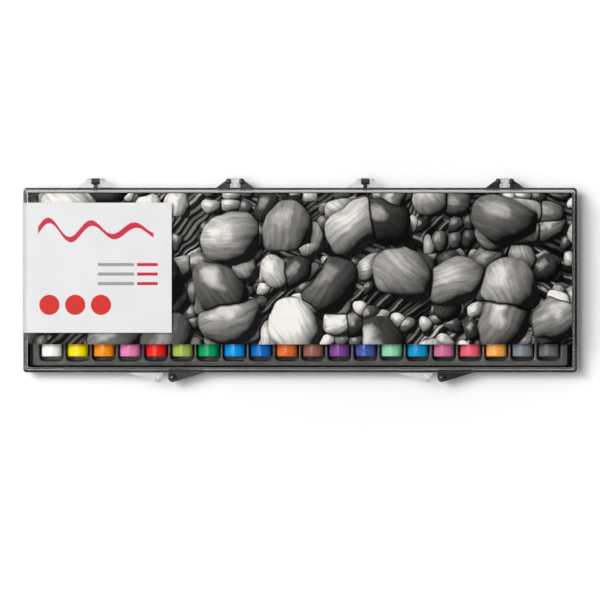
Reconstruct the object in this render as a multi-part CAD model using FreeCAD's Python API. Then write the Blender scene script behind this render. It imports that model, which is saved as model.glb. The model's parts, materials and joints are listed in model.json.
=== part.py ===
import FreeCAD, Part
import math
import os

# A flat hinged box of twenty soft pastels. Two halves from one mould close on each other:
# the dark one is the base, and the clear one, turned over about the Y axis, is the lid.
# X runs along the row of sticks, +Y points at the hinge and +Z up. The origin is the
# middle of the base's underside. All lengths are in millimetres and all angles in degrees.

# ---------------------------------------------------------------- driving dimensions
# Sticks
pastel_diameter = 10.0
pastel_length = 74.0
pastel_chamfer = 0.4
pastel_seat_gap = 0.05  # between a stick and the floor of its slot
pastel_stand_out = 1.3  # height of a stick above the tray's deck

# Tray
slot_side_gap = 0.73  # between a stick and the slot's mouth, each side
slot_end_gap = 2.3
slot_corner_radius = 2.6
slot_edge_round = 0.5
slot_draft = 2.0
slot_rib = 1.24  # top of the rib between two slots
tray_sheet = 0.7
tray_end_margin = 3.2  # deck beyond the first and the last slot
tray_side_margin = 2.2  # deck in front of the slots and behind them
tray_end_skirt = 2.4  # how far the skirt leans out from deck to floor, at the two ends
tray_side_skirt = 0.85  # the same in front and behind
tray_corner_radius = 1.7
tray_edge_round = 0.6
tray_clearance = 0.3  # between the foot of the skirt and the case

# Case half
wall = 1.5
floor_thickness = 1.5
wall_draft = 7.0
cavity_corner_radius = 1.0
cavity_floor_radius = 0.3
body_corner_radius = 1.4
body_edge_radius = 0.6
rim_overhang = 0.7
rim_thickness = 1.2
rim_edge_round = 0.55
lip_thickness = 0.6
lip_height = 1.2
lip_clearance = 0.1
catch_length = 8.0
catch_radius = 0.25
catch_slack = 0.02  # what the catch leaves of the lip's clearance

# Hinge
outer_hinge_inset = 35.1  # from the end of the rim to the middle of the outer hinge
inner_hinge_x = 31.6
hinge_setback = 3.1  # hinge axis behind the rim
hinge_ball_radius = 1.5
hinge_ball_reach = 0.3  # how far each ball enters the knuckle
socket_clearance = 0.08
knuckle_radius = 1.55
knuckle_width = 4.0
neck_shoulder = 1.0  # the neck is this much narrower than the knuckle, each side
wing_gap = 0.45  # between a wing and the knuckle's end
wing_span = 9.3  # from the middle of the hinge to the outer end of a wing
wing_top = 5.1  # the same, at the height of the balls

# Finger tabs on the front rim
tab_pair_x = 65.4
tab_ball_spacing = 6.8
tab_ball_radius = 2.2
tab_setback = 2.6  # ball centre in front of the rim
tab_edge_inset = 0.94  # the wedge's edges enter the ball at this share of its radius
tab_length = 15.6

# Card, pad and label in and on the lid
card_thickness = 0.4
card_clearance = 0.6
window_depth = 11.5  # clear strip left in front of the card
pad_thickness = 2.5
pad_inset = 1.0
pad_gap = 0.35  # between the pad and the sticks
label_thickness = 0.25
label_reach = 72.2  # from the rim's left edge to the label's right edge
label_width = 63.0
label_centre_y = 6.0
label_hem_gap = 0.3  # from the parting plane up to the label's folded edge
label_stand_off = 0.1  # how far the fold stands off the lid's rounded edge

# ---------------------------------------------------------------- the sticks, in order
pastel_names = [
    "white", "yellow", "orange", "pink", "red", "olive_green", "green", "sky_blue", "blue",
    "burnt_orange", "brown", "purple", "blue_violet", "mint", "cyan_blue", "mauve",
    "raspberry", "amber", "slate_grey", "dark_grey",
]

# ---------------------------------------------------------------- derived dimensions
slot_width = pastel_diameter + 2 * slot_side_gap
slot_length = pastel_length + 2 * slot_end_gap
slot_pitch = slot_width + slot_rib
bank_length = len(pastel_names) * slot_pitch - slot_rib

deck_length = bank_length + 2 * tray_end_margin
deck_width = slot_length + 2 * tray_side_margin
foot_length = deck_length + 2 * tray_end_skirt
foot_width = deck_width + 2 * tray_side_skirt

cavity_length = foot_length + 2 * tray_clearance
cavity_width = foot_width + 2 * tray_clearance
body_length = cavity_length + 2 * wall
body_width = cavity_width + 2 * wall
rim_length = body_length + 2 * rim_overhang
rim_width = body_width + 2 * rim_overhang
rim_corner_radius = body_corner_radius + rim_overhang / 2
body_edge_round = min(body_edge_radius, 0.9 * body_corner_radius)

slot_floor_z = floor_thickness + tray_sheet
pastel_axis_z = slot_floor_z + pastel_seat_gap + pastel_diameter / 2
pastel_top_z = pastel_axis_z + pastel_diameter / 2
deck_z = pastel_top_z - pastel_stand_out
pad_z = pastel_top_z + pad_gap
card_z = pad_z + pad_thickness
case_height = card_z + card_thickness + floor_thickness
parting_z = case_height / 2
rim_z = parting_z - rim_thickness

hinge_y = rim_width / 2 + hinge_setback
outer_hinge_x = rim_length / 2 - outer_hinge_inset
hinge_ball_x = knuckle_width / 2 + hinge_ball_radius - hinge_ball_reach


# ---------------------------------------------------------------- shapes used throughout
def at(x, y, z):
    return FreeCAD.Vector(x, y, z)


def round_outline(length, width, radius, z, middle_x=0.0):
    """Rectangle with round corners, as a closed wire at height z."""
    reach_x = length / 2 - radius
    reach_y = width / 2 - radius
    corners = [(reach_x, reach_y), (-reach_x, reach_y), (-reach_x, -reach_y), (reach_x, -reach_y)]
    arcs = []
    for quarter, (x, y) in enumerate(corners):
        circle = Part.Circle(at(middle_x + x, y, z), at(0, 0, 1), radius)
        start = quarter * math.pi / 2
        arcs.append(Part.ArcOfCircle(circle, start, start + math.pi / 2))
    edges = []
    for arc, following in zip(arcs, arcs[1:] + arcs[:1]):
        edges.append(arc.toShape())
        edges.append(Part.LineSegment(arc.EndPoint, following.StartPoint).toShape())
    return Part.Wire(edges)


def round_block(length, width, radius, bottom, top):
    """Upright block with round corners."""
    outline = round_outline(length, width, radius, bottom)
    return Part.Face(outline).extrude(at(0, 0, top - bottom))


def plate(points, bottom, top):
    """Flat plate from a closed polygon of (x, y) points."""
    corners = [at(x, y, bottom) for x, y in points]
    return Part.Face(Part.makePolygon(corners + corners[:1])).extrude(at(0, 0, top - bottom))


def level_edges(shape, z):
    """Edges that lie in the horizontal plane at height z."""
    level = []
    for edge in shape.Edges:
        box = edge.BoundBox
        if abs(box.ZMin - z) < 1e-4 and abs(box.ZMax - z) < 1e-4:
            level.append(edge)
    return level


def tangent_point(outside, centre, radius, side):
    """Where a line from an outside point touches a circle: side +1 or -1 picks which one."""
    dx = outside[0] - centre[0]
    dy = outside[1] - centre[1]
    turn = math.atan2(dy, dx) + side * math.acos(radius / math.hypot(dx, dy))
    return centre[0] + radius * math.cos(turn), centre[1] + radius * math.sin(turn)


# ---------------------------------------------------------------- one half of the case
def drafted_body():
    """Tapered outside of a half, with its bottom edge rounded."""
    lean = 2 * rim_z * math.tan(math.radians(wall_draft))
    bottom = round_outline(body_length - lean, body_width - lean, body_corner_radius, 0)
    top = round_outline(body_length, body_width, body_corner_radius, rim_z)
    body = Part.makeLoft([bottom, top], True, True)
    return body.makeFillet(body_edge_round, level_edges(body, 0))


def rim():
    """Flange round the open side of a half, with its outer lower edge eased."""
    flange = round_block(rim_length, rim_width, rim_corner_radius, rim_z, parting_z)
    return flange.makeFillet(rim_edge_round, level_edges(flange, rim_z))


def half_space(side, bottom, top):
    """Box over one end of the case: side +1 is the right, -1 the left."""
    box = Part.makeBox(rim_length, 2 * rim_width, top - bottom, at(0, -rim_width, bottom))
    if side < 0:
        box.translate(at(-rim_length, 0, 0))
    return box


def lip():
    """Tongue that stands on the inner part of the wall, over the right half."""
    top = parting_z + lip_height
    ring = round_block(
        cavity_length + 2 * lip_thickness, cavity_width + 2 * lip_thickness,
        cavity_corner_radius + lip_thickness, rim_z, top,
    )
    right_end = half_space(1, rim_z, top)
    right_end.translate(at(lip_clearance, 0, 0))
    return ring.common(right_end)


def lip_recess():
    """Room for the other half's tongue, over the left half."""
    room = lip_thickness + lip_clearance
    bottom = parting_z - lip_height - lip_clearance
    ring = round_block(
        cavity_length + 2 * room, cavity_width + 2 * room, cavity_corner_radius + room,
        bottom, case_height,
    )
    return ring.common(half_space(-1, bottom, case_height))


def catch():
    """Bead on the tongue's outer face, at the right-hand tabs, that holds the case shut."""
    proud = lip_clearance - catch_slack
    face_y = -cavity_width / 2 - lip_thickness
    return Part.makeCylinder(
        catch_radius, catch_length,
        at(tab_pair_x - catch_length / 2, face_y + catch_radius - proud, parting_z + lip_height / 2),
        at(1, 0, 0),
    )


def ball(radius, centre):
    """Sphere with its poles and seam turned away from the flat faces that it joins."""
    return Part.makeSphere(radius, centre, at(0.31, 0.52, 0.80))


def hinge_fork(middle_x):
    """Two wings on the rear rim, each with a ball that faces the other half's knuckle."""
    rim_y = rim_width / 2
    root_y = rim_y - rim_overhang
    inner_x = knuckle_width / 2 + wing_gap
    outline = [
        (inner_x, root_y), (wing_span, root_y), (wing_span, rim_y), (wing_top, hinge_y), (inner_x, hinge_y),
    ]
    pieces = []
    for side in (1, -1):
        wing = [(middle_x + side * x, y) for x, y in outline]
        pieces.append(plate(wing, rim_z, parting_z))
        ball_centre = at(middle_x + side * hinge_ball_x, hinge_y, parting_z)
        pieces.append(ball(hinge_ball_radius, ball_centre))
    return pieces


def hinge_knuckle(middle_x):
    """Barrel on a neck, with a socket in each end for the balls of the other half's fork."""
    barrel = Part.makeCylinder(
        knuckle_radius, knuckle_width, at(middle_x - knuckle_width / 2, hinge_y, parting_z), at(1, 0, 0)
    )
    neck_half = knuckle_width / 2 - neck_shoulder
    root_y = rim_width / 2 - rim_overhang
    neck = plate(
        [
            (middle_x - neck_half, root_y), (middle_x + neck_half, root_y),
            (middle_x + neck_half, hinge_y), (middle_x - neck_half, hinge_y),
        ],
        rim_z, parting_z,
    )
    knuckle = barrel.fuse(neck)
    for side in (1, -1):
        centre = at(middle_x + side * hinge_ball_x, hinge_y, parting_z)
        knuckle = knuckle.cut(ball(hinge_ball_radius + socket_clearance, centre))
    return [knuckle]


def finger_tab(ball_x):
    """Wedge on the front rim that tapers to the right, with a ball at its blunt end."""
    rim_y = -rim_width / 2
    root_y = rim_y + rim_overhang
    ball_y = rim_y - tab_setback
    tip = (ball_x + tab_length, rim_y)
    edge_radius = tab_edge_inset * tab_ball_radius
    touch = tangent_point(tip, (ball_x, ball_y), edge_radius, -1)
    outline = [
        (ball_x - edge_radius, root_y), (ball_x - edge_radius, ball_y),
        (ball_x, ball_y), touch, tip, (tip[0], root_y),
    ]
    ball_z = (rim_z + parting_z) / 2
    return [
        plate(outline, rim_z, parting_z),
        ball(tab_ball_radius, at(ball_x, ball_y, ball_z)),
    ]


def cavity():
    """The hollow of a half, with the edge round its floor eased."""
    hollow = round_block(cavity_length, cavity_width, cavity_corner_radius, floor_thickness, case_height)
    return hollow.makeFillet(min(cavity_floor_radius, tray_clearance), level_edges(hollow, floor_thickness))


def case_half():
    """The whole moulding, open side up, with the parting plane at its rim."""
    added = [rim(), lip(), catch()]
    for x in (outer_hinge_x, -inner_hinge_x):
        added += hinge_fork(x)
    for x in (-outer_hinge_x, inner_hinge_x):
        added += hinge_knuckle(x)
    for pair_x in (-tab_pair_x, tab_pair_x):
        added += finger_tab(pair_x + tab_ball_spacing / 2)
    solid = drafted_body().fuse(added)
    return solid.cut([cavity(), lip_recess()]).removeSplitter()


def turned_over(shape):
    """The same moulding as the other half of the case."""
    turned = shape.copy()
    turned.rotate(at(0, 0, parting_z), at(0, 1, 0), 180)
    return turned


# ---------------------------------------------------------------- tray and sticks
def slot_x(index):
    return (index - (len(pastel_names) - 1) / 2) * slot_pitch


def slot(index):
    """Tapered room for one stick, from the slot's floor up past the deck."""
    lean = 2 * (deck_z - slot_floor_z) * math.tan(math.radians(slot_draft))
    foot = round_outline(
        slot_width - lean, slot_length - lean, slot_corner_radius - lean / 2, slot_floor_z, slot_x(index)
    )
    mouth = round_outline(slot_width, slot_length, slot_corner_radius, deck_z, slot_x(index))
    return Part.makeLoft([foot, mouth], True, True)


def pastel_tray():
    """Formed tray: deck, leaning skirt and a bank of slots, hollow below between the two."""
    foot = round_outline(foot_length, foot_width, tray_corner_radius, floor_thickness)
    deck = round_outline(deck_length, deck_width, tray_corner_radius, deck_z)
    outside = Part.makeLoft([foot, deck], True, True)
    outside = outside.makeFillet(tray_edge_round, level_edges(outside, deck_z))

    thinner = 2 * tray_sheet
    inner_radius = tray_corner_radius - tray_sheet
    under_deck = deck_z - tray_sheet
    inner_foot = round_outline(foot_length - thinner, foot_width - thinner, inner_radius, floor_thickness)
    inner_top = round_outline(deck_length - thinner, deck_width - thinner, inner_radius, under_deck)
    below = Part.makeLoft([inner_foot, inner_top], True, True)
    bank = round_block(
        bank_length + thinner, slot_length + thinner, slot_corner_radius + tray_sheet,
        floor_thickness, under_deck,
    )
    tray = outside.cut(below.cut(bank))
    tray = tray.cut([slot(index) for index in range(len(pastel_names))])

    reach_x = bank_length / 2 + tray_sheet / 2
    reach_y = slot_length / 2 + tray_sheet / 2
    mouths = []
    for edge in level_edges(tray, deck_z):
        box = edge.BoundBox
        if max(abs(box.XMin), abs(box.XMax)) < reach_x and max(abs(box.YMin), abs(box.YMax)) < reach_y:
            mouths.append(edge)
    return tray.makeFillet(min(slot_edge_round, 0.45 * slot_rib), mouths)


def pastel(index):
    """Round stick lying in its slot, with its two ends chamfered."""
    stick = Part.makeCylinder(
        pastel_diameter / 2, pastel_length,
        at(slot_x(index), -pastel_length / 2, pastel_axis_z), at(0, 1, 0),
    )
    ends = [edge for edge in stick.Edges if edge.Closed]
    return stick.makeChamfer(pastel_chamfer, ends)


# ---------------------------------------------------------------- card, pad and label
def lid_sheet(inset, bottom, top):
    """Flat sheet in the lid behind the clear strip, drawn in by inset on every side."""
    reach_x = cavity_length / 2 - card_clearance - inset
    rear_y = cavity_width / 2 - card_clearance - inset
    front_y = -cavity_width / 2 + window_depth + inset
    return plate(
        [(-reach_x, front_y), (reach_x, front_y), (reach_x, rear_y), (-reach_x, rear_y)], bottom, top
    )


def insert_card():
    return lid_sheet(0, card_z, card_z + card_thickness)


def foam_pad():
    return lid_sheet(pad_inset, pad_z, card_z)


def label_path(offset):
    """Edges of the label's section at a distance from the lid, from its right edge to its hem.

    It lies on the lid, goes round the lid's left edge, runs straight to the outer corner
    of the rim and ends just above the parting plane.
    """
    draft = math.radians(wall_draft)
    wall_x = -body_length / 2 + rim_z * math.tan(draft)
    inner_radius = body_edge_round + label_stand_off
    bend_x = wall_x + body_edge_round * math.tan(math.pi / 4 - draft / 2) - label_stand_off / 2
    bend_z = case_height - inner_radius
    radius = inner_radius + offset
    rim_x = -rim_length / 2
    rim_top = parting_z + rim_thickness
    leave = tangent_point((rim_x, rim_top), (bend_x, bend_z), inner_radius, -1)
    tilt = math.atan2(leave[1] - bend_z, leave[0] - bend_x)
    mitre = offset * math.tan((math.pi - tilt) / 2)

    def on_bend(angle):
        return at(bend_x + radius * math.cos(angle), 0, bend_z + radius * math.sin(angle))

    points = [
        at(-rim_length / 2 + label_reach, 0, case_height + offset),
        on_bend(math.pi / 2),
        on_bend(tilt),
        at(rim_x - offset, 0, rim_top + mitre),
        at(rim_x - offset, 0, parting_z + label_hem_gap),
    ]
    return [
        Part.LineSegment(points[0], points[1]).toShape(),
        Part.Arc(points[1], on_bend((tilt + math.pi / 2) / 2), points[2]).toShape(),
        Part.LineSegment(points[2], points[3]).toShape(),
        Part.LineSegment(points[3], points[4]).toShape(),
    ]


def lid_label():
    """Paper label on the lid, folded down over its left wall."""
    near = label_path(0)
    far = label_path(label_thickness)
    ends = [
        Part.LineSegment(near[0].Vertexes[0].Point, far[0].Vertexes[0].Point).toShape(),
        Part.LineSegment(near[-1].Vertexes[-1].Point, far[-1].Vertexes[-1].Point).toShape(),
    ]
    section = Part.Face(Part.Wire(Part.__sortEdges__(near + far + ends)))
    section.translate(at(0, label_centre_y - label_width / 2, 0))
    return section.extrude(at(0, label_width, 0))


# ---------------------------------------------------------------- output
def all_parts():
    """Every sub-part, by name."""
    half = case_half()
    parts = {
        "base_shell": half,
        "lid_shell": turned_over(half),
        "pastel_tray": pastel_tray(),
        "insert_card": insert_card(),
        "foam_pad": foam_pad(),
        "lid_label": lid_label(),
    }
    for index, colour in enumerate(pastel_names):
        parts[f"pastel_{index + 1:02d}_{colour}"] = pastel(index)
    return parts


def main():
    os.makedirs("parts", exist_ok=True)
    for name, shape in all_parts().items():
        shape.exportStep(f"parts/{name}.step")
        box = shape.BoundBox
        print(
            f"{name}: solids {len(shape.Solids)} valid {shape.isValid()} volume {shape.Volume:.2f} "
            f"x {box.XMin:.2f} {box.XMax:.2f} y {box.YMin:.2f} {box.YMax:.2f} "
            f"z {box.ZMin:.2f} {box.ZMax:.2f}"
        )
    print(f"rim {rim_length:.2f} x {rim_width:.2f} height {case_height:.2f} parting {parting_z:.2f}")
    print(f"hinge axis y {hinge_y:.2f} z {parting_z:.2f}")


main()
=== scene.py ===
"""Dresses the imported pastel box: two hinged plastic half-shells, a slotted tray, twenty chalk sticks, a foam pad,
a printed card and a folded paper label, on a plain pale floor under soft light.

Everything is in metres in the frame of the CAD model: X along the case, Y from the tabs to the hinges, Z up.
"""

from __future__ import annotations

import json
import logging
import math
from dataclasses import dataclass
from enum import Enum

import bpy
import numpy as np
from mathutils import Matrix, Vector

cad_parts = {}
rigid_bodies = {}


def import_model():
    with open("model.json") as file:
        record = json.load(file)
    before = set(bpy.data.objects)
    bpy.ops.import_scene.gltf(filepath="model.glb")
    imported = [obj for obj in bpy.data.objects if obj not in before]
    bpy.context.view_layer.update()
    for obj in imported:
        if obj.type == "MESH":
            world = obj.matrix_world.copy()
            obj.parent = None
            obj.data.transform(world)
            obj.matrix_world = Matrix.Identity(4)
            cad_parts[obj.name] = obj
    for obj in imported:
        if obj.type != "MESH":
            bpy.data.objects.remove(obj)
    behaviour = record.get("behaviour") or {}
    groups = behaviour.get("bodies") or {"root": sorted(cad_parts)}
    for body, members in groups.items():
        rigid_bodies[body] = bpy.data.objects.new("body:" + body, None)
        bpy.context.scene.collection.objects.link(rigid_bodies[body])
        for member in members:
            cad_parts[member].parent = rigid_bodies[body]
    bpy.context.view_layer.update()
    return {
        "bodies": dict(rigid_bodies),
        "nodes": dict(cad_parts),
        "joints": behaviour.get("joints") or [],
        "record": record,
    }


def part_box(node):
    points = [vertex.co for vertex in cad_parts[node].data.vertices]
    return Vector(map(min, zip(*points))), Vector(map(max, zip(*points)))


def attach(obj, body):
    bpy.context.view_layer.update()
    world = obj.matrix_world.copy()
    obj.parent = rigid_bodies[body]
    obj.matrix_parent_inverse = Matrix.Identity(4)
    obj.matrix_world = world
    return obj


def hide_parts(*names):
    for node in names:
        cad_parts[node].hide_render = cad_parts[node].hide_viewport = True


log = logging.getLogger("pastel_box")

MM = 0.001
# the step that points are rounded to before they are joined, a tenth of a micron
WELD = 1e-7
Pair = tuple[float, float]
Triple = tuple[float, float, float]
Colour = Triple
# where a change starts and ends, and the value at each
Change = tuple[float, float, float, float]
Socket = bpy.types.NodeSocket
Outputs = bpy.types.NodeOutputs
Material = bpy.types.Material
# what can fill a node's input
Feed = Socket | float | tuple | None


class Body(Enum):
    """The two CAD bodies that pieces ride on."""

    BASE = "base"
    LID = "lid"


def linear(*parts: int) -> Colour:
    """Turns an sRGB colour into linear light.

    Args:
        *parts: Red, green and blue, 0 to 255.

    Returns:
        The three parts in linear light, 0 to 1.
    """
    shares = np.array(parts, float) / 255.0
    return tuple(np.where(shares <= 0.04045, shares / 12.92, ((shares + 0.055) / 1.055) ** 2.4).tolist())


def scaled(colour: Colour, share: float) -> Colour:
    """The colour with each part multiplied by a share."""
    return tuple(part * share for part in colour)


# --- Materials ---


class Recipe:
    """The node tree of a material or a world while it is being put together."""

    def __init__(self, name: str, store: bpy.types.bpy_prop_collection | None = None) -> None:
        """Starts an empty node tree.

        Args:
            name: The name of the material or world.
            store: The collection of Blender's to make it in, its materials if None.
        """
        self.owner = (bpy.data.materials if store is None else store).new(name)
        self.owner.use_nodes = True
        self.tree = self.owner.node_tree
        self.tree.nodes.clear()

    def feed(self, socket: Socket, value: Feed) -> None:
        """Links a socket, or sets its own value.

        Args:
            socket: The input to fill.
            value: Another node's output, a number or colour, or None to leave it.
        """
        if value is None:
            return
        if isinstance(value, Socket):
            self.tree.links.new(value, socket)
        elif socket.type == "RGBA":
            socket.default_value = (*value, 1.0)
        else:
            socket.default_value = value

    def node(self, kind: str, inputs: dict | None = None, **settings: object) -> Outputs:
        """Adds a node.

        Args:
            kind: Blender's name for the node type, less its ShaderNode.
            inputs: Input name or number to value or socket.
            **settings: The node's own properties.

        Returns:
            The node's outputs.
        """
        made = self.tree.nodes.new(f"ShaderNode{kind}")
        for key, value in settings.items():
            setattr(made, key, value)
        for key, value in (inputs or {}).items():
            self.feed(made.inputs[key], value)
        return made.outputs

    def coords(self) -> Socket:
        """The piece's own coordinates."""
        return self.node("TexCoord")["Object"]

    def stretched(self, stretch: Triple, turn: float = 0.0) -> Socket:
        """The piece's own coordinates, scaled along each axis and then turned about Z by an angle in radians."""
        inputs = {"Vector": self.coords(), "Rotation": (0.0, 0.0, turn), "Scale": stretch}
        return self.node("Mapping", inputs)[0]

    def noise(self, where: Socket, scale: float, detail: float = 3.0, rough: float = 0.5, bend: float = 0.0) -> Socket:
        """Cloudy noise of 0 to 1: features per metre, octaves, the share of each finer octave, and distortion."""
        inputs = {"Vector": where, "Scale": scale, "Detail": detail, "Roughness": rough, "Distortion": bend}
        return self.node("TexNoise", inputs)[0]

    def jitter(self, where: Socket, scale: float, detail: float, reach: Triple) -> Socket:
        """A vector of noise about 0: (noise - 0.5) times the reach along each axis."""
        made = self.node("TexNoise", {"Vector": where, "Scale": scale, "Detail": detail})
        return self.along("MULTIPLY", self.along("SUBTRACT", made["Color"], (0.5, 0.5, 0.5)), reach)

    def cells(self, where: Socket, scale: float, uneven: float = 1.0, **settings: str) -> Outputs:
        """The outputs of a Voronoi pattern, in cells per metre, which stray from a square grid by uneven, 0 to 1."""
        inputs = {"Vector": where, "Scale": scale, "Randomness": uneven}
        return self.node("TexVoronoi", inputs, **settings)

    def calc(self, kind: str, first: Feed, second: Feed = None, third: Feed = None, clamp: bool = False) -> Socket:
        """One step of arithmetic, by Blender's name for it, kept within 0 and 1 if clamp is set."""
        return self.node("Math", {0: first, 1: second, 2: third}, operation=kind, use_clamp=clamp)[0]

    def times(self, first: Feed, second: Feed, plus: Feed = None) -> Socket:
        """The product of two numbers, and a third added to it where one is given."""
        return self.calc("MULTIPLY" if plus is None else "MULTIPLY_ADD", first, second, plus)

    def along(self, kind: str, first: Feed, second: Feed = None) -> Socket:
        """One step of vector arithmetic: a vector, or a value for a length or a dot product."""
        made = self.node("VectorMath", {0: first, 1: second}, operation=kind)
        return made[1 if kind in ("DOT_PRODUCT", "LENGTH") else 0]

    def turned(self, vector: Feed, angle: Feed) -> Socket:
        """The vector turned about Z by an angle in radians."""
        return self.node("VectorRotate", {"Vector": vector, "Angle": angle}, rotation_type="Z_AXIS")[0]

    def split(self, vector: Socket) -> Outputs:
        """The X, Y and Z parts of a vector."""
        return self.node("SeparateXYZ", {0: vector})

    def ease(
        self, value: Feed, low: float, high: float, at_low: float = 0.0, at_high: float = 1.0, curve: str = "SMOOTHSTEP"
    ) -> Socket:
        """Goes from at_low to at_high, and no further, as value goes from low to high, smoothly or by another curve."""
        inputs = {"Value": value, "From Min": low, "From Max": high, "To Min": at_low, "To Max": at_high}
        return self.node("MapRange", inputs, interpolation_type=curve)[0]

    def above(self, value: Feed, limit: float, soft: float) -> Socket:
        """0 below a limit and 1 above it, with a change that reaches soft to each side."""
        return self.ease(value, limit - soft, limit + soft)

    def band(self, value: Feed, low: float, high: float, soft: float) -> Socket:
        """1 between two limits and 0 outside them, with the same kind of change at each."""
        return self.times(self.above(value, low, soft), self.ease(value, high - soft, high + soft, 1.0, 0.0))

    def mix(self, share: Feed, first: Feed, second: Feed, kind: str = "MIX") -> Socket:
        """The first colour mixed with a share of the second, by Blender's name for the blend."""
        return self.node("Mix", {0: share, 6: first, 7: second}, data_type="RGBA", blend_type=kind)[2]

    def bump(self, height: Feed, strength: float, depth: float, under: Feed = None) -> Socket:
        """A normal from a height of 0 to 1, where 1 stands for depth in metres, over the bump that is under it."""
        inputs = {"Strength": strength, "Distance": depth, "Height": height, "Normal": under}
        return self.node("Bump", inputs)[0]

    def body(self, **inputs: Feed) -> Socket:
        """The main shader, from its inputs' names with _ for a space."""
        return self.node("BsdfPrincipled", {key.replace("_", " "): value for key, value in inputs.items()})[0]

    def seen(self, path: Outputs) -> Socket:
        """1 for what a light path sees directly, in gloss or through glass, else 0."""
        direct = self.calc("ADD", path["Is Camera Ray"], path["Is Glossy Ray"])
        return self.calc("ADD", direct, path["Is Transmission Ray"], clamp=True)

    def close(self, shader: Socket, kind: str = "OutputMaterial") -> Material | bpy.types.World:
        """Joins the shader to an output node and gives the finished material or world."""
        self.node(kind, {"Surface": shader})
        return self.owner


@dataclass(frozen=True)
class MouldedPlastic:
    """Opaque moulded plastic with a faint grain, rub marks and a soft ripple in its gloss.

    Where a ramp along X is given, it holds the X at which a painted change of light and shade starts and ends, and the
    brightness multiplier at each: painted shade towards one end and painted light towards the other.
    """

    name: str
    colour: Colour
    rubbed: Colour
    gloss: Pair
    grain_per_m: float = 1400.0
    grain_depth: float = 4e-6
    painted_light_ramp: Change | None = None
    clouds_per_m: float = 55.0
    ripple_depth: float = 2e-5
    scuff_stretch: Triple = (18.0, 260.0, 260.0)
    scuff_turn: float = 0.5
    scuff_roughness: float = 0.10
    wear: float = 0.35

    def make(self) -> Material:
        """Builds the material.

        Returns:
            The material.
        """
        r = Recipe(self.name)
        where = r.coords()
        grain = r.noise(where, self.grain_per_m, 4.0, 0.6)
        clouds = r.noise(where, self.clouds_per_m, 3.0, 0.55)
        scuffs = r.noise(r.stretched(self.scuff_stretch, self.scuff_turn), 1.0, 5.0, 0.7, 0.4)
        rub = r.ease(scuffs, 0.62, 0.80)
        colour = self.colour
        for worn in (clouds, rub):
            colour = r.mix(r.times(worn, self.wear), colour, self.rubbed)
        # painted light and shade: the colour is multiplied by a brightness that changes along X
        if self.painted_light_ramp:
            pale = r.ease(r.split(where)[0], *self.painted_light_ramp)
            tone = r.node("CombineColor", {0: pale, 1: pale, 2: pale})[0]
            colour = r.mix(1.0, colour, tone, "MULTIPLY")
        rough = r.times(rub, self.scuff_roughness, r.ease(clouds, 0.3, 0.7, *self.gloss))
        normal = r.bump(clouds, 0.25, self.ripple_depth, r.bump(grain, 0.5, self.grain_depth))
        return r.close(r.body(Base_Color=colour, Roughness=rough, IOR=1.52, Specular_IOR_Level=0.5, Normal=normal))


@dataclass(frozen=True)
class ClearPlastic:
    """Glass-clear polystyrene with faint hair scratches, frosted on its wings and tabs and hazed on its rear wall.

    Lamps reach what it covers. The rear wall's outer face is where y + slope z passes a level, above the rim.
    """

    name: str
    tint: Colour = (0.995, 1.0, 0.995)
    roughness: float = 0.015
    passed: Colour = (0.99, 0.99, 0.99)
    frosted: Colour = (0.70, 0.70, 0.70)
    frosted_from: float = 44.9 * MM
    frosted_matt: float = 0.5
    frosted_roughness: float = 0.30
    passed_frosted: Colour = (0.78, 0.78, 0.78)
    hazed: float = 0.36
    wall_slope: float = 0.1228
    wall_reach: float = 44.65 * MM
    rim_top: float = 9.9 * MM
    soft: float = 0.1 * MM
    hair_stretch: Triple = (25.0, 900.0, 900.0)
    hair_turn: float = 0.35
    hair_roughness: float = 0.05
    ripples_per_m: float = 28.0
    ripple_depth: float = 4e-5

    def make(self) -> Material:
        """Builds the material.

        Returns:
            The material.
        """
        r = Recipe(self.name)
        hairs = r.noise(r.stretched(self.hair_stretch, self.hair_turn), 1.0, 2.0, 0.6, 0.6)
        rough = r.times(r.ease(hairs, 0.66, 0.74), self.hair_roughness, self.roughness)
        normal = r.bump(r.noise(r.coords(), self.ripples_per_m, 1.0, 0.4), 0.12, self.ripple_depth)
        _, y, z = r.split(r.coords())
        outside = r.ease(r.calc("ABSOLUTE", y), self.frosted_from, self.frosted_from + 3 * self.soft)
        tint = r.mix(outside, self.tint, self.frosted)
        rough = r.times(outside, self.frosted_roughness, rough)
        leaning = r.times(z, self.wall_slope, y)
        rear = r.times(r.above(leaning, self.wall_reach, self.soft), r.above(z, self.rim_top, self.soft))
        frost = r.times(outside, self.frosted_matt)
        clear = r.calc("SUBTRACT", 1.0, r.calc("MAXIMUM", frost, r.times(rear, self.hazed)))
        glass = r.body(Base_Color=tint, Roughness=rough, IOR=1.5, Transmission_Weight=clear, Normal=normal)
        open_way = r.node("BsdfTransparent", {"Color": r.mix(outside, self.passed, self.passed_frosted)})[0]
        path = r.node("LightPath")
        through = r.calc("MAXIMUM", path["Is Shadow Ray"], path["Is Diffuse Ray"])
        return r.close(r.node("MixShader", {0: through, 1: glass, 2: open_way})[0])


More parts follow.
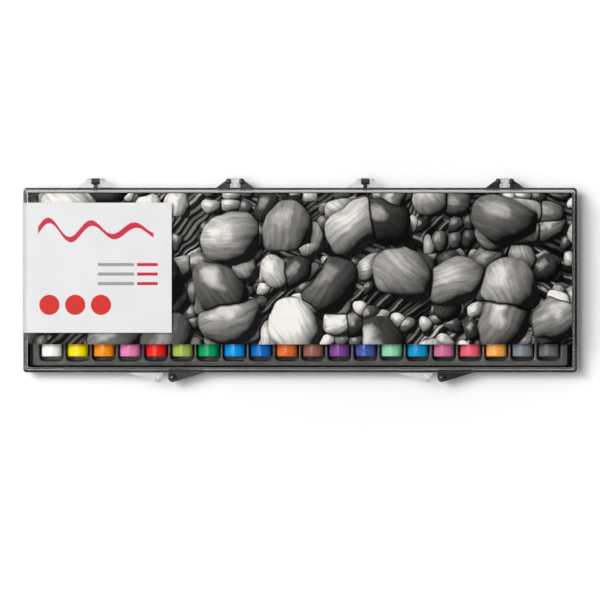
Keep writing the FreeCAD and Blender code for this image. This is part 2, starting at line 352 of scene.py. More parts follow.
@dataclass(frozen=True)
class Chalk:
    """A pressed pigment stick: powder specks and fine pits in a skin that was burnished when it was rolled.

    The pigment is painted lighter to make up for the light that the clear lid over it takes away, a deep colour more
    than a pale one, up to a limit.
    """

    name: str
    colour: Colour
    boost: float = 1.65
    boost_fall: float = 0.52
    brightest: float = 0.985
    deep_share: float = 0.94
    specks_per_m: float = 2600.0
    patches_per_m: float = 320.0
    pits_per_m: float = 1500.0
    depth: float = 3.5e-5

    def make(self) -> Material:
        """Builds the material.

        Returns:
            The material.
        """
        r = Recipe(self.name)
        where = r.coords()
        powder = r.noise(where, self.specks_per_m, 4.0, 0.65)
        patches = r.noise(r.stretched((1.0, 0.25, 1.0)), self.patches_per_m, 3.0, 0.6)
        pits = r.cells(where, self.pits_per_m)["Distance"]
        top = max(self.colour)
        pale = scaled(self.colour, min(self.boost - self.boost_fall * top, self.brightest / top))
        colour = r.mix(r.ease(patches, 0.32, 0.68), scaled(pale, self.deep_share), pale)
        colour = r.mix(r.ease(powder, 0.60, 0.78, 0.0, 0.30), colour, pale)
        height = r.times(r.ease(pits, 0.0, 0.35), 0.35, powder)
        shader = r.body(
            Base_Color=colour,
            Roughness=r.ease(patches, 0.3, 0.7, 0.11, 0.15),
            Diffuse_Roughness=0.6,
            Specular_IOR_Level=0.4,
            Normal=r.bump(height, 0.08, self.depth),
        )
        return r.close(shader)


@dataclass(frozen=True)
class PebblePrint:
    """A glossy card printed with a warm grey picture of heaped pebbles over reeds, on its upper face only.

    Beds holds the direction and the number per metre of the reeds in two beds. A layer of stones holds its offset,
    its stones per metre and the share of its cells that hold none.
    """

    name: str
    ink: Colour = (0.90, 0.87, 0.825)
    stock: Colour = (0.78, 0.77, 0.74)
    face_z: float = 15.4 * MM
    lamp: Triple = (-0.50, 0.60, 0.625)
    glint: Triple = (-0.277, 0.333, 0.901)
    sway: float = 0.012
    beds: tuple[Pair, ...] = ((0.42, 330.0), (-0.75, 420.0))
    layers: tuple[tuple[Triple, float, float], ...] = (
        ((0.31, 0.12, 0.0), 125.0, 0.35),
        ((0.11, 0.62, 0.0), 66.0, 0.32),
        ((0.07, 0.44, 0.0), 37.0, 0.34),
    )
    stone_size: float = 0.60
    stone_width: float = 0.76
    uneven: float = 0.62
    dots_per_m: float = 5200.0
    fibres_per_m: float = 1500.0

    def stones(self, r: Recipe, where: Socket, scale: float, missing: float) -> tuple[Socket, ...]:
        """One layer of stones: an ellipsoid in each Voronoi cell, lit by the picture's own lamp.

        With q the place in the stone's own turned and stretched axes, its height is sqrt(1 - q.q) and (q, height) is
        its slope. The tone is what the lamp gives on that slope, times the stone's shade and veins, plus a highlight.

        Args:
            r: The recipe.
            where: Flat coordinates.
            scale: Stones per metre.
            missing: Share of the cells that hold none.

        Returns:
            The tone from 0 to 1, a mask of where this layer has stones, and how far a place is from the middle of
            its stone, from 2 up where there is none.
        """
        seeds = r.cells(where, scale, self.uneven, voronoi_dimensions="2D")
        edge = r.cells(where, scale, self.uneven, voronoi_dimensions="2D", feature="DISTANCE_TO_EDGE")["Distance"]
        own = r.node("SeparateColor", {0: seeds["Color"]})
        angle = r.times(own[1], 2.0 * math.pi)
        local = r.turned(r.along("SUBTRACT", where, seeds["Position"]), angle)
        long, wide = scale / self.stone_size, scale / (self.stone_size * self.stone_width)
        across = r.along("MULTIPLY", local, (long, wide, 0.0))
        far = r.along("LENGTH", across)
        rise = r.calc("SQRT", r.calc("SUBTRACT", 1.0, r.times(far, far), clamp=True))
        slope = r.along("ADD", across, r.node("CombineXYZ", {2: rise})[0])
        slope = r.along("ADD", slope, r.jitter(local, scale * 3.0, 3.0, (0.5, 0.5, 0.3)))
        lit = r.calc("MAXIMUM", r.along("DOT_PRODUCT", slope, r.turned(self.lamp, angle)), 0.0)
        shine = r.ease(r.along("DOT_PRODUCT", slope, r.turned(self.glint, angle)), 0.86, 1.03)
        veins = r.noise(r.along("MULTIPLY", local, (scale * 1.2, scale * 12.0, 1.0)), 1.0, 4.0, 0.6, 0.6)
        shade = r.times(r.calc("POWER", own[0], 1.6), 0.95, 0.05)
        shade = r.times(shade, r.ease(veins, 0.30, 0.70, 0.55, 1.25))
        tone = r.times(shade, r.times(lit, 1.30, 0.012))
        tone = r.times(shine, r.times(own[2], 0.55, 0.10), tone)
        tone = r.times(tone, r.ease(edge, 0.0, 0.055))
        there = r.ease(own[2], missing, missing + 0.001)
        mask = r.times(there, r.ease(far, 0.95, 1.0, 1.0, 0.0))
        return tone, mask, r.calc("MAXIMUM", far, r.calc("SUBTRACT", 2.0, r.times(there, 2.0)))

    def reeds(self, r: Recipe, where: Socket, turn: float, scale: float) -> Socket:
        """Reeds that lie side by side: each strip of a one-way Voronoi is a half round, with its own shade and fibres.

        Args:
            r: The recipe.
            where: Flat coordinates.
            turn: Direction in radians.
            scale: Reeds per metre.

        Returns:
            The tone from 0 to 1.
        """
        laid = r.turned(where, turn)
        across = r.split(laid)[1]
        strip = r.node("TexVoronoi", {"W": across, "Scale": scale}, voronoi_dimensions="1D")
        offset = r.times(r.calc("SUBTRACT", across, strip["W"]), scale)
        own = r.node("SeparateColor", {0: strip["Color"]})
        round_off = r.ease(r.calc("ABSOLUTE", r.calc("SUBTRACT", offset, 0.12)), 0.05, 0.42, 1.0, 0.02)
        fibres = r.noise(r.along("MULTIPLY", laid, (30.0, scale * 6.0, 1.0)), 1.0, 3.0, 0.6)
        tone = r.times(round_off, r.times(r.calc("POWER", own[0], 1.5), 0.62, 0.06))
        return r.times(tone, r.ease(fibres, 0.3, 0.7, 0.6, 1.2))

    def make(self) -> Material:
        """Builds the material.

        Returns:
            The material.
        """
        r = Recipe(self.name)
        coords = r.coords()
        x, y, z = r.split(coords)
        flat = r.node("CombineXYZ", {0: x, 1: y})[0]
        where = r.along("ADD", flat, r.jitter(flat, 40.0, 2.0, (self.sway, self.sway, 0.0)))
        # two beds of reeds that meet in patches, with hollows that lie in shade
        beds = [self.reeds(r, where, turn, scale) for turn, scale in self.beds]
        tone = r.mix(r.ease(r.noise(flat, 19.0, 1.0), 0.47, 0.50), *beds)
        tone = r.times(tone, r.ease(r.noise(flat, 60.0, 2.0), 0.35, 0.6, 0.25, 1.0))
        # the stones, small ones first, each layer with a soft shadow round it
        for shift, scale, missing in self.layers:
            stone, mask, far = self.stones(r, r.along("ADD", where, shift), scale, missing)
            tone = r.times(tone, r.ease(far, 0.85, 1.30, 0.12, 1.0))
            tone = r.mix(mask, tone, stone)
        # broad light and dark, then the printing's own grain
        tone = r.times(tone, r.ease(r.noise(flat, 10.0, 2.0, 0.4), 0.32, 0.68, 0.50, 1.50))
        dots = r.ease(r.noise(flat, self.dots_per_m, 2.0, 0.7), 0.25, 0.75, 0.90, 1.10)
        tone = r.calc("MULTIPLY", tone, dots, clamp=True)
        shade = r.mix(1.0, r.calc("ADD", tone, 0.001), self.ink, "MULTIPLY")
        fibres = r.noise(coords, self.fibres_per_m, 4.0, 0.6)
        bare = r.mix(r.ease(fibres, 0.35, 0.65), self.stock, scaled(self.stock, 0.9))
        colour = r.mix(r.above(z, self.face_z, 0.02 * MM), bare, shade)
        rough = r.ease(fibres, 0.3, 0.7, 0.18, 0.24)
        normal = r.bump(fibres, 0.1, 4e-6)
        return r.close(r.body(Base_Color=colour, Roughness=rough, Specular_IOR_Level=0.2, Normal=normal))


@dataclass(frozen=True)
class LabelPaper:
    """White label paper with a chalk sweep, three plain discs and three plain bars, all generic, in reds and greys,
    with painted shade along its fold.
    """

    name: str
    paper: Colour = linear(222, 222, 223)
    crimson: Colour = linear(200, 26, 56)
    scarlet: Colour = linear(205, 34, 24)
    grey: Colour = linear(150, 150, 152)
    sweep_x: Pair = (-127.0 * MM, -71.0 * MM)
    sweep_y: float = 24.0 * MM
    sweep_period: float = 21.0 * MM
    sweep_settled: float = -80.0 * MM
    sweep_swing: Pair = (5.0 * MM, 2.6 * MM)
    stroke: Pair = (0.5 * MM, 1.5 * MM)
    first_disc: Pair = (-121.5 * MM, -12.0 * MM)
    disc_spacing: float = 12.5 * MM
    disc_radius: float = 4.9 * MM
    first_bar: float = -4.0 * MM
    bar_pitch: float = 4.6 * MM
    grey_x: Pair = (-98.0 * MM, -80.5 * MM)
    red_x: Pair = (-79.0 * MM, -69.0 * MM)
    face_z: float = 17.0 * MM
    fold_x: Pair = (-133.6 * MM, -131.6 * MM)
    fold_painted_shade: float = 0.55

    def make(self) -> Material:
        """Builds the material.

        Returns:
            The material.
        """
        r = Recipe(self.name)
        coords = r.coords()
        x, y, z = r.split(coords)
        fibres = r.noise(coords, 1900.0, 4.0, 0.6)
        mottle = r.noise(coords, 60.0, 2.0, 0.5)
        sheet = r.mix(r.ease(mottle, 0.3, 0.7), self.paper, scaled(self.paper, 0.965))
        # the sweep: a slow wave along X whose line swells on its way down, as chalk held flat would draw it
        start, end = self.sweep_x
        phase = r.times(r.calc("ADD", x, -start), 2.0 * math.pi / self.sweep_period)
        swing = r.times(r.calc("SINE", phase), r.ease(x, start, self.sweep_settled, *self.sweep_swing))
        line = r.calc("ABSOLUTE", r.calc("SUBTRACT", y, r.calc("ADD", swing, self.sweep_y)))
        width = r.times(r.calc("COSINE", phase), *self.stroke)
        sweep = r.ease(r.calc("DIVIDE", line, width), 0.80, 1.0, 1.0, 0.0)
        sweep = r.times(sweep, r.band(x, start, end, 0.3 * MM))
        sweep = r.times(sweep, r.ease(r.noise(coords, 1500.0, 3.0, 0.7), 0.30, 0.36))
        # the discs: the distance along X to the nearest of evenly spaced centres, squared, plus that along Y squared
        first_x, row_y = self.first_disc
        near = r.calc("PINGPONG", r.calc("SUBTRACT", x, first_x), self.disc_spacing / 2)
        aside = r.calc("SUBTRACT", y, row_y)
        squared = r.calc("ADD", r.times(near, near), r.times(aside, aside))
        disc = r.ease(squared, (self.disc_radius - 0.05 * MM) ** 2, (self.disc_radius + 0.05 * MM) ** 2, 1.0, 0.0)
        discs = r.times(disc, r.band(x, first_x - self.disc_spacing / 2, first_x + 2.5 * self.disc_spacing, 0.1 * MM))
        # the bars: a triangle wave along Y, cut off above a level, for three waves, in a grey part and a red part
        rise = r.calc("SUBTRACT", y, self.first_bar)
        wave = r.ease(r.calc("PINGPONG", rise, self.bar_pitch / 2), 1.45 * MM, 1.60 * MM)
        bars = r.times(wave, r.band(rise, 0.0, 3 * self.bar_pitch, 0.05 * MM))
        parts = [r.times(bars, r.band(x, *ends, 0.08 * MM)) for ends in (self.grey_x, self.red_x)]
        colour = sheet
        for mask, ink in zip((sweep, discs, *parts), (self.crimson, self.scarlet, self.grey, self.crimson)):
            colour = r.mix(mask, colour, ink)
        colour = r.mix(r.above(z, self.face_z, 0.1 * MM), sheet, colour)
        # painted shade where the paper turns round the lid's left edge, darker towards the edge
        fold = r.ease(x, *self.fold_x, self.fold_painted_shade, 0.0)
        colour = r.mix(fold, colour, scaled(self.paper, self.fold_painted_shade))
        rough = r.ease(fibres, 0.3, 0.7, 0.5, 0.62)
        normal = r.bump(fibres, 0.25, 1.2e-5)
        return r.close(r.body(Base_Color=colour, Roughness=rough, Specular_IOR_Level=0.3, Normal=normal))


@dataclass(frozen=True)
class Foam:
    """Fine open-celled packing foam: pale, matt and pitted, with painted shade in its pits and faint streaks of pigment
    dust.
    """

    name: str
    colour: Colour = (0.74, 0.74, 0.72)
    dust: Colour = (0.50, 0.47, 0.45)
    pit_painted_shade: float = 0.62
    cells_per_m: float = 1500.0

    def make(self) -> Material:
        """Builds the material.

        Returns:
            The material.
        """
        r = Recipe(self.name)
        where = r.coords()
        cell = r.cells(where, self.cells_per_m)["Distance"]
        fine = r.noise(where, 3200.0, 3.0, 0.6)
        streaks = r.noise(r.stretched((1.0, 0.2, 1.0)), 110.0, 4.0, 0.6)
        # painted shade: the colour is darker in the pits of the cells
        shade = r.mix(r.ease(cell, 0.05, 0.45), scaled(self.colour, self.pit_painted_shade), self.colour)
        shade = r.mix(r.ease(streaks, 0.55, 0.8, 0.0, 0.3), shade, self.dust)
        height = r.calc("ADD", r.ease(cell, 0.0, 0.45), r.times(fine, 0.35))
        shader = r.body(
            Base_Color=shade,
            Roughness=0.92,
            Specular_IOR_Level=0.2,
            Sheen_Weight=0.25,
            Sheen_Roughness=0.6,
            Normal=r.bump(height, 0.7, 1.4e-4),
        )
        return r.close(shader)


@dataclass(frozen=True)
class StudioFloor:
    """A pale floor that reads as white where it is lit, keeps the shadow of the case, and stays pale far away.

    Its glow starts where the shadow ends, in an oval twice as long as wide, and grows again far from the case.
    """

    name: str
    colour: Colour = (0.92, 0.92, 0.92)
    open_lift: float = 0.14
    open_between: Pair = (0.055, 0.120)
    far_lift: float = 0.75
    far_between: Pair = (0.35, 2.2)

    def make(self) -> Material:
        """Builds the material.

        Returns:
            The material.
        """
        r = Recipe(self.name)
        seen = r.seen(r.node("LightPath"))
        paper = r.noise(r.coords(), 300.0, 3.0, 0.6)
        tone = r.mix(r.ease(paper, 0.3, 0.7), self.colour, scaled(self.colour, 0.99))
        matt = r.node("BsdfDiffuse", {"Color": tone})[0]
        far = r.ease(r.along("LENGTH", r.coords()), *self.far_between, 0.0, self.far_lift)
        near = r.ease(r.along("LENGTH", r.stretched((0.50, 1.0, 1.0))), *self.open_between, 0.0, self.open_lift)
        strength = r.times(seen, r.calc("ADD", far, near))
        glow = r.node("Emission", {"Color": (1.0, 1.0, 1.0), "Strength": strength})[0]
        return r.close(r.node("AddShader", {0: matt, 1: glow})[0])


# --- Surfaces ---


def welded_mesh(name: str, points: np.ndarray, triangles: np.ndarray, sharp_degrees: float) -> bpy.types.Mesh:
    """A closed skin with points that coincide joined, the right way out, and smooth except at its sharp edges.

    Points are rounded to WELD, each distinct one is kept once, every triangle is renumbered, and one that collapses is
    dropped. If the signed volume, a sixth of the sum of a . (b x c), is below 0, all triangles are reversed.

    Args:
        name: The mesh's name.
        points: N by 3 coordinates in metres.
        triangles: M by 3 point numbers.
        sharp_degrees: Edges that turn more than this stay sharp.

    Returns:
        The mesh.
    """
    a, b, c = (points[triangles[:, k]] for k in range(3))
    if np.einsum("ij,ij->i", a, np.cross(b, c)).sum() < 0:
        triangles = triangles[:, ::-1]
    keys = np.round(points / WELD).astype(np.int64)
    _, first, where = np.unique(keys, axis=0, return_index=True, return_inverse=True)
    faces = where.reshape(-1)[triangles]
    whole = (faces[:, 0] != faces[:, 1]) & (faces[:, 1] != faces[:, 2]) & (faces[:, 2] != faces[:, 0])
    mesh = bpy.data.meshes.new(name)
    mesh.from_pydata(points[first], [], faces[whole])
    mesh.validate()
    mesh.polygons.foreach_set("use_smooth", np.ones(len(mesh.polygons), bool))
    mesh.set_sharp_from_angle(angle=math.radians(sharp_degrees))
    mesh.update()
    return mesh


def grid_triangles(rows: int, columns: int, ring: bool) -> np.ndarray:
    """Triangles of a grid of points numbered row by row: cell (i, j) is split along its diagonal.

    Args:
        rows: Number of rows.
        columns: Number of points in a row.
        ring: True where a row's last point joins its first.

    Returns:
        M by 3 point numbers.
    """
    i, j = np.meshgrid(np.arange(rows - 1), np.arange(columns if ring else columns - 1), indexing="ij")
    k = (j + 1) % columns
    a, b, c, d = i * columns + j, i * columns + k, (i + 1) * columns + k, (i + 1) * columns + j
    return np.concatenate([np.stack([a, b, c], -1).reshape(-1, 3), np.stack([a, c, d], -1).reshape(-1, 3)])


def closed_sheet(name: str, outer: np.ndarray, inner: np.ndarray, sharp_degrees: float) -> bpy.types.Mesh:
    """A closed skin between two grids of the same size: the outer grid, the inner one reversed, and four side strips.

    Args:
        name: The mesh's name.
        outer: Rows by columns by 3, whose rows cross columns anticlockwise seen from outside.
        inner: The same for the inner side.
        sharp_degrees: Edges that turn more than this stay sharp.

    Returns:
        The mesh.
    """
    rows, columns, _ = outer.shape
    count = rows * columns
    face = grid_triangles(rows, columns, False)
    number = np.arange(count).reshape(rows, columns)
    rim = np.concatenate([number[0, :-1], number[:-1, -1], number[-1, :0:-1], number[:0:-1, 0]])
    nxt = np.roll(rim, -1)
    sides = np.concatenate([np.stack([nxt, rim, rim + count], -1), np.stack([nxt, rim + count, nxt + count], -1)])
    points = np.concatenate([outer.reshape(-1, 3), inner.reshape(-1, 3)])
    triangles = np.concatenate([face, face[:, ::-1] + count, sides])
    return welded_mesh(name, points, triangles, sharp_degrees)


def new_object(name: str, data: bpy.types.ID) -> bpy.types.Object:
    """Puts a new object into the scene.

    Args:
        name: Its name.
        data: The mesh, lamp or camera that it shows.

    Returns:
        The object.
    """
    made = bpy.data.objects.new(name, data)
    bpy.context.scene.collection.objects.link(made)
    return made


def add_piece(mesh: bpy.types.Mesh, material: Material, body: Body, slot: str, *nodes: str) -> bpy.types.Object:
    """Puts a mesh into the scene as a piece of the same name that stands for CAD nodes.

    Args:
        mesh: Its mesh, with its place in its points.
        material: Its material.
        body: The body that it rides on.
        slot: The record's material slot; not used.
        *nodes: The CAD nodes that it stands for.

    Returns:
        The object.
    """
    piece = new_object(mesh.name, mesh)
    mesh.materials.append(material)
    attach(piece, body.value)
    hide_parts(*nodes)
    log.info("%s: %d faces on %s", piece.name, len(mesh.polygons), body.value)
    return piece


# --- Sub-assemblies ---


@dataclass(frozen=True)
class CarriedShell:
    """A joined and smoothly shaded copy of a CAD node, which it then stands for.

    Edges that turn more than sharp_degrees stay sharp.
    """

    node: str
    name: str
    finish: MouldedPlastic | ClearPlastic
    body: Body
    slot: str
    sharp_degrees: float

    def build(self, frame: dict) -> None:
        """Adds the shell.
        """
        material = self.finish.make()
        source = frame["nodes"][self.node].data
        points = np.empty(len(source.vertices) * 3)
        source.vertices.foreach_get("co", points)
        source.calc_loop_triangles()
        triangles = np.empty(len(source.loop_triangles) * 3, np.int64)
        source.loop_triangles.foreach_get("vertices", triangles)
        mesh = welded_mesh(self.name, points.reshape(-1, 3), triangles.reshape(-1, 3), self.sharp_degrees)
        piece = add_piece(mesh, material, self.body, self.slot, self.node)
        even = piece.modifiers.new("even_shading", "WEIGHTED_NORMAL")
        even.keep_sharp = True


@dataclass
class CaseHalves:
    """The black base and the clear lid: one moulding each, with its hinge forks, knuckles and finger tabs."""

    shells: tuple[CarriedShell, ...] = (
        CarriedShell(
            "base_shell",
            "base_moulding",
            MouldedPlastic("black_gloss_plastic", (0.018, 0.018, 0.019), (0.040, 0.040, 0.041), (0.20, 0.32)),
            Body.BASE,
            "black_shell",
            32.0,
        ),
        CarriedShell("lid_shell", "lid_moulding", ClearPlastic("clear_polystyrene"), Body.LID, "clear_shell", 32.0),
    )

    def build(self, frame: dict) -> None:
        for shell in self.shells:
            shell.build(frame)


@dataclass
class SlottedTray:
    """The vacuum-formed insert with a slot for each stick."""

    finish: MouldedPlastic = MouldedPlastic(
        "charcoal_tray_sheet",
        colour=(0.040, 0.038, 0.036),
        rubbed=(0.062, 0.060, 0.057),
        gloss=(0.30, 0.42),
        grain_per_m=1100.0,
        grain_depth=1.2e-5,
        # painted shade towards the left end of the deck, painted light towards the right end
        painted_light_ramp=(-131.0 * MM, 131.0 * MM, 0.50, 1.45),
    )
    sharp_degrees: float = 40.0

    def build(self, frame: dict) -> None:
        shell = CarriedShell("pastel_tray", "slotted_tray", self.finish, Body.BASE, "charcoal_tray", self.sharp_degrees)
        shell.build(frame)


@dataclass
class PastelBank:
    """The twenty chalk sticks, each a body of revolution along Y inside the box of its CAD node.

    Colours are in sRGB, 0 to 255.
    """

    colours: tuple[tuple[str, int, int, int], ...] = (
        ("white", 243, 240, 236),
        ("yellow", 255, 234, 2),
        ("orange", 239, 150, 14),
        ("pink", 209, 122, 167),
        ("red", 214, 32, 26),
        ("olive_green", 146, 166, 74),
        ("green", 1, 143, 87),
        ("sky_blue", 0, 140, 207),
        ("blue", 10, 98, 173),
        ("burnt_orange", 204, 102, 40),
        ("brown", 128, 83, 68),
        ("purple", 110, 55, 129),
        ("blue_violet", 60, 78, 149),
        ("mint", 130, 186, 153),
        ("cyan_blue", 9, 138, 188),
        ("mauve", 186, 102, 142),
        ("raspberry", 212, 87, 109),
        ("amber", 234, 168, 81),
        ("slate_grey", 110, 114, 121),
        ("dark_grey", 90, 88, 86),
    )
    chamfer: float = 0.4 * MM
    around: int = 72
    face_rings: int = 7
    edge_rings: int = 6
    side_rings: int = 17
    waves: tuple[tuple[int, float], ...] = ((2, 1.3), (3, 2.1), (5, 3.7))
    wave_limit: float = 1.1
    wave_depth: float = 0.03 * MM
    chips: int = 5
    chip_width_mm: Pair = (0.5, 1.6)
    chip_depth_mm: Pair = (0.05, 0.28)
    end_dent: float = 0.05 * MM
    first_seed: int = 40
    sharp_degrees: float = 38.0

    def profile(self, radius: float, half: float) -> tuple[np.ndarray, np.ndarray]:
        """Half of the outline of a stick: a flat end, a rounded edge, and a straight side, mirrored.

        Args:
            radius: The stick's radius.
            half: Half its length.

        Returns:
            Distance along the axis, and radius there.
        """
        face = np.linspace(0.0, radius - self.chamfer, self.face_rings)
        turn = np.linspace(0.0, math.pi / 2, self.edge_rings)[1:]
        edge_y = -half + self.chamfer * (1 - np.cos(turn))
        edge_r = radius - self.chamfer * (1 - np.sin(turn))
        side = np.linspace(-half + self.chamfer, 0.0, self.side_rings)[1:]
        along = np.concatenate([np.full(face.size, -half), edge_y, side])
        out = np.concatenate([face, edge_r, np.full(side.size, radius)])
        return np.concatenate([along, -along[-2::-1]]), np.concatenate([out, out[-2::-1]])

    def stick(self, name: str, low: Vector, high: Vector, seed: int) -> bpy.types.Mesh:
        """One stick: its outline turned about Y, thinned by a slow wave and by small chips near both ends.

        A chip is a soft dent exp(-(d/w)^2) around a point of the end's edge, and each end face is dented by
        1 - cos(3 a), more towards its edge. All of these only take material away, so the stick stays inside the box
        of its node.

        Args:
            name: The mesh's name.
            low: Lowest corner of its node.
            high: Highest corner.
            seed: Start of its own random numbers.

        Returns:
            The mesh.
        """
        random = np.random.default_rng(seed)
        radius = (high.z - low.z) / 2
        half = (high.y - low.y) / 2
        along, out = self.profile(radius, half)
        angle = np.linspace(0.0, 2 * math.pi, self.around, endpoint=False)
        y, a = np.meshgrid(along, angle, indexing="ij")
        r = np.repeat(out[:, None], self.around, 1)
        wave = np.zeros_like(r)
        for turns, waves in self.waves:
            start, shift = random.uniform(0, 2 * math.pi, 2)
            wave += np.sin(turns * a + start) * np.sin(waves * math.pi * y / half + shift) / turns
        shrink = self.wave_depth * (0.5 + 0.5 * wave / self.wave_limit)
        for end in (-half, half):
            for _ in range(self.chips):
                spot = random.uniform(0, 2 * math.pi)
                width = random.uniform(*self.chip_width_mm) * MM
                depth = random.uniform(*self.chip_depth_mm) * MM
                across = radius * np.abs((a - spot + math.pi) % (2 * math.pi) - math.pi)
                away = np.hypot(across, y - end)
                shrink = shrink + depth * np.exp(-((away / width) ** 2))
        r = np.where(r > 0, np.maximum(r - shrink * (r / radius), 0.0), 0.0)
        on_end = np.abs(y) > half - 1e-9
        y = y - np.sign(y) * (self.end_dent * (1 - np.cos(3 * a + seed)) * (r / radius) * on_end)
        mid_x, mid_y, mid_z = ((lowest + highest) / 2 for lowest, highest in zip(low, high))
        points = np.stack([mid_x + r * np.sin(a), mid_y + y, mid_z + r * np.cos(a)], -1).reshape(-1, 3)
        return welded_mesh(name, points, grid_triangles(along.size, self.around, True), self.sharp_degrees)

    def build(self) -> None:
        """Builds the twenty sticks."""
        for number, (shade, *colour) in enumerate(self.colours, 1):
            node = f"pastel_{number:02d}_{shade}"
            low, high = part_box(node)
            mesh = self.stick(f"stick_{number:02d}_{shade}", low, high, self.first_seed + number)
            chalk = Chalk(f"chalk_of_{shade}", linear(*colour)).make()
            add_piece(mesh, chalk, Body.BASE, f"chalk_{shade}", node)


@dataclass
class PrintedCard:
    """The picture card under the lid: a thin plate with rounded corners and softened edges."""

    corner: float = 1.2 * MM
    edge: float = 0.08 * MM
    columns: int = 61
    rows: int = 25
    sharp_degrees: float = 30.0
    finish: PebblePrint = PebblePrint("pebble_print_card")

    def build(self) -> None:
        """Builds the card: x = u * half width(y), where the half width shortens by r - sqrt(r^2 - t^2) in the corners.

        Its rows lie closer together towards its long edges, and its rim is thinned from both faces.
        """
        low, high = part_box("insert_card")
        u = np.linspace(-1.0, 1.0, self.columns)
        spread = np.sin(np.linspace(-math.pi / 2, math.pi / 2, self.rows))
        centre, half = (low + high) / 2, (high - low) / 2
        y = half.y * np.sign(spread) * np.abs(spread) ** 0.5
        into = np.clip(np.abs(y) - (half.y - self.corner), 0.0, self.corner)
        width = half.x - self.corner + np.sqrt(np.maximum(self.corner**2 - into**2, 0.0))
        x = u[None, :] * width[:, None]
        on_rim = np.maximum(np.abs(u)[None, :], (np.abs(y) / half.y)[:, None]) > 0.9999
        drop = self.edge * on_rim
        flat = np.stack([centre.x + x, centre.y + np.repeat(y[:, None], self.columns, 1), np.zeros_like(x)], -1)
        top, under = flat.copy(), flat.copy()
        top[..., 2] = high.z - drop
        under[..., 2] = low.z + drop
        mesh = closed_sheet("picture_card", top, under, self.sharp_degrees)
        add_piece(mesh, self.finish.make(), Body.LID, "printed_card", "insert_card")


@dataclass
class FoamPad:
    """The thin pad between the card and the sticks: crowned, pulled in between its corners, grooved by the sticks."""

    groove: float = 0.28 * MM
    pitch: float = 12.7 * MM
    middle_stick: float = 9.5
    pull: float = 0.35 * MM
    edge_share: float = 0.30
    round_off: float = 1.6
    crowding: float = 0.35
    columns: int = 321
    rows: int = 41
    sharp_degrees: float = 60.0
    finish: Foam = Foam("white_packing_foam")

    def build(self) -> None:
        """Builds the pad.

        Its sides are pulled in by pull * (1 - v^4) and pull * (1 - u^8), so the corners stand out. With s the
        distance from a side over round_off half thicknesses, at most 1, the half thickness grows from edge_share of
        itself to the whole as sqrt(1 - (1 - s)^2) does, for the two directions multiplied. The under side also
        rises by a cosine hollow over every stick.
        """
        low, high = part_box("foam_pad")
        centre, half = (low + high) / 2, (high - low) / 2
        # a little less than a quarter turn
        quarter = math.pi / 2 * 0.999
        u = np.sin(np.linspace(-1, 1, self.columns) * quarter) / math.sin(quarter)
        u = self.crowding * u + (1 - self.crowding) * np.linspace(-1, 1, self.columns)
        v = np.sin(np.linspace(-1, 1, self.rows) * math.pi / 2)
        v, u = np.meshgrid(v, u, indexing="ij")
        x = half.x * u - self.pull * u * (1 - v**4)
        y = half.y * v - self.pull * v * (1 - u**8)
        run = half.z * self.round_off
        side_u = np.clip((1 - np.abs(u)) * half.x / run, 0.0, 1.0)
        side_v = np.clip((1 - np.abs(v)) * half.y / run, 0.0, 1.0)
        swell = np.sqrt(1 - (1 - side_u) ** 2) * np.sqrt(1 - (1 - side_v) ** 2)
        thick = half.z * (self.edge_share + (1 - self.edge_share) * swell)
        over = (x / self.pitch + self.middle_stick) % 1.0
        hollow = self.groove * swell * np.maximum(0.0, np.cos(2 * math.pi * over)) ** 0.7
        outer = np.stack([centre.x + x, centre.y + y, centre.z + thick], -1)
        under = np.stack([centre.x + x, centre.y + y, centre.z - thick + hollow], -1)
        mesh = closed_sheet("packing_pad", outer, under, self.sharp_degrees)
        piece = add_piece(mesh, self.finish.make(), Body.LID, "white_foam", "foam_pad")


@dataclass
class FoldedLabel:
    """The paper label: flat on the lid, round the left edge and part of the way down the wall."""

    reach_x: float = -62.28 * MM
    edge_x: float = -132.403 * MM
    face_z: float = 17.0 * MM
    bend: float = 0.7 * MM
    wall_top: Pair = (-133.088 * MM, 16.442 * MM)
    wall_end: Pair = (-134.48 * MM, 9.7 * MM)
    hem_z: float = 8.8 * MM
    paper: float = 0.25 * MM
    rows: int = 33
    flat_points: int = 25
    turn_points: int = 9
    hem_points: int = 3
    sharp_degrees: float = 30.0
    finish: LabelPaper = LabelPaper("printed_label_paper")

    def path(self) -> tuple[np.ndarray, np.ndarray]:
        """The line that the paper's inner face follows in X and Z, and the outward direction along it.

        It is a straight run along the lid, an arc of radius bend, a straight run down the wall and an upright hem.

        Returns:
            Points and unit normals, both K by 2.
        """
        along = np.linspace(self.reach_x, self.edge_x, self.flat_points)
        flat = np.stack([along, np.full(self.flat_points, self.face_z)], -1)
        centre = np.array([self.edge_x, self.face_z - self.bend])
        last = math.atan2(self.wall_top[1] - centre[1], self.wall_top[0] - centre[0])
        turn = np.linspace(math.pi / 2, last, self.turn_points)[1:]
        arc = centre + self.bend * np.stack([np.cos(turn), np.sin(turn)], -1)
        share = np.linspace(0, 1, self.turn_points)[1:, None]
        wall = (1 - share) * np.array(self.wall_top) + share * np.array(self.wall_end)
        down = np.linspace(self.wall_end[1], self.hem_z, self.hem_points + 1)[1:]
        hem = np.stack([np.full(self.hem_points, self.wall_end[0]), down], -1)
        line = np.concatenate([flat, arc, wall, hem])
        step = np.gradient(line, axis=0)
        normal = np.stack([step[:, 1], -step[:, 0]], -1)
        return line, normal / np.linalg.norm(normal, axis=1, keepdims=True)

    def build(self) -> None:
        """Builds the label: the path carried along Y, and the same again one paper thickness further out."""
        low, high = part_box("lid_label")
        line, normal = self.path()
        y = np.linspace(low.y, high.y, self.rows)
        inner = np.empty((self.rows, len(line), 3))
        inner[..., 0], inner[..., 1], inner[..., 2] = line[None, :, 0], y[:, None], line[None, :, 1]
        outer = inner.copy()
        outer[..., ::2] += self.paper * normal
        outer[..., 2] = np.minimum(outer[..., 2], high.z)
        outer[..., 0] = np.maximum(outer[..., 0], low.x)
        mesh = closed_sheet("folded_label", outer, inner, self.sharp_degrees)
        add_piece(mesh, self.finish.make(), Body.LID, "paper_label", "lid_label")


# --- Studio ---


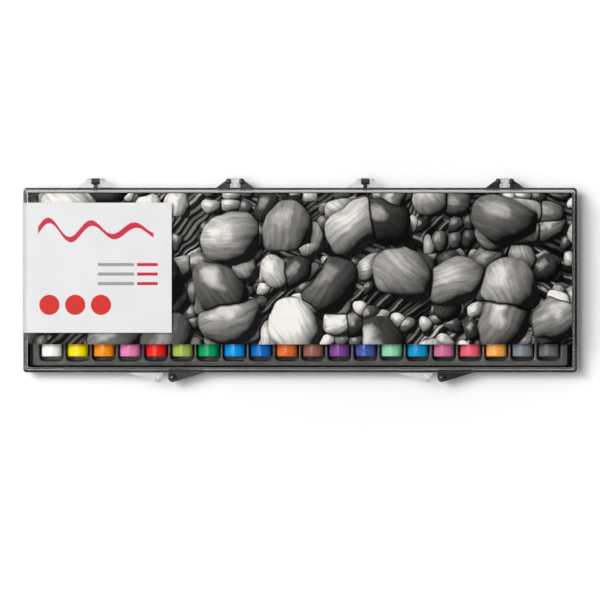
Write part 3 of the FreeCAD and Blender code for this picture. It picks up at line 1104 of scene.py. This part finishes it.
@dataclass(frozen=True)
class Softbox:
    """A rectangular lamp, whose place is given as azimuth and elevation in degrees and distance in metres."""

    name: str
    azimuth: float
    elevation: float
    distance: float
    width: float
    height: float
    level: float

    def build(self, target: Vector) -> None:
        """Adds the lamp, aimed at a point.

        Its power is worked out from its level: a surface that faces it gets level times pi of light, which a white
        one sends back at brightness level.

        Args:
            target: What it is aimed at.
        """
        lamp = bpy.data.lights.new(self.name, "AREA")
        lamp.shape = "RECTANGLE"
        lamp.size, lamp.size_y = self.width, self.height
        lamp.energy = self.level * math.pi**2 * self.distance**2
        a, e = math.radians(self.azimuth), math.radians(self.elevation)
        back = Vector((math.sin(a) * math.cos(e), math.cos(a) * math.cos(e), math.sin(e)))
        holder = new_object(self.name, lamp)
        holder.location = target + back * self.distance
        holder.rotation_mode = "QUATERNION"
        holder.rotation_quaternion = (-back).to_track_quat("-Z", "Y")
        holder.visible_camera = False


@dataclass
class Studio:
    """The floor, the world, the lamps and the camera."""

    target: Triple = (-0.0001, -0.00965, 0.0100)
    frame_width: float = 0.2913
    lens: float = 400.0
    sensor: float = 36.0
    floor_size: float = 6.0
    ceiling: Change = (0.25, 0.80, 1.0, 0.01)
    fill: Change = (0.5, 0.95, 0.02, 0.54)
    ends: Change = (0.2, 0.8, -0.93, 0.0)
    lit_point: Triple = (0.0, 0.0, 0.01)
    lamps: tuple[Softbox, ...] = (
        Softbox("key_softbox", -62.0, 53.0, 3.0, 1.2, 1.2, 0.69),
        Softbox("left_softbox", -105.0, 50.0, 3.0, 1.3, 1.3, 0.09),
        Softbox("back_softbox", 0.0, 44.0, 2.5, 1.8, 0.3, 0.06),
        Softbox("overhead_softbox", -79.0, 75.0, 1.6, 0.9, 0.34, 0.28),
    )

    def floor(self) -> None:
        """A flat square of floor under the case."""
        half = self.floor_size / 2
        corners = [(-half, -half, 0.0), (half, -half, 0.0), (half, half, 0.0), (-half, half, 0.0)]
        mesh = bpy.data.meshes.new("studio_floor")
        mesh.from_pydata(corners, [], [(0, 1, 2, 3)])
        mesh.materials.append(StudioFloor("floor_paper").make())
        plate = new_object("studio_floor", mesh)

    def world(self) -> None:
        """A sky for what is seen directly, in gloss and through glass, and a softer fill on everything matt.

        The sky goes from white at the horizon to dark straight up, as under a studio ceiling. Gloss sees it dimmer
        towards the two ends of the case than in front of it and behind it. The fill comes mostly from above. Ceiling
        and fill are read from how far up a direction points, and ends from how far along Y.
        """
        r = Recipe("studio_world", bpy.data.worlds)
        path = r.node("LightPath")
        _, y, z = r.split(r.node("TexCoord")["Generated"])
        dimming = r.ease(r.calc("ABSOLUTE", y), *self.ends, "LINEAR")
        share = r.times(path["Is Glossy Ray"], dimming, 1.0)
        sky = r.times(r.ease(z, *self.ceiling), share)
        fill = r.ease(z, *self.fill)
        level = r.node("Mix", {0: r.seen(path), 2: fill, 3: sky}, data_type="FLOAT")[0]
        shader = r.node("Background", {"Strength": level})[0]
        bpy.context.scene.world = r.close(shader, "OutputWorld")

    def camera(self) -> None:
        """A camera straight above, as far off as its long lens needs for the frame's width."""
        data = bpy.data.cameras.new("top_camera")
        data.sensor_width, data.lens = self.sensor, self.lens
        data.clip_start, data.clip_end = 0.1, 50.0
        holder = new_object("top_camera", data)
        distance = self.frame_width * self.lens / self.sensor
        holder.location = Vector(self.target) + Vector((0.0, 0.0, distance))
        bpy.context.scene.camera = holder

    def build(self) -> None:
        """Builds the studio."""
        self.floor()
        self.world()
        for lamp in self.lamps:
            lamp.build(Vector(self.lit_point))
        self.camera()
        bpy.context.scene.view_settings.view_transform = "Standard"
        log.info("studio: floor, world, %d lamps and the camera", len(self.lamps))


def main() -> None:
    """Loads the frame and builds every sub-assembly around it."""
    logging.basicConfig(level=logging.INFO, format="%(message)s")
    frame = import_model()
    CaseHalves().build(frame)
    SlottedTray().build(frame)
    PastelBank().build()
    PrintedCard().build()
    FoamPad().build()
    FoldedLabel().build()
    Studio().build()


if __name__ == "__main__":
    main()
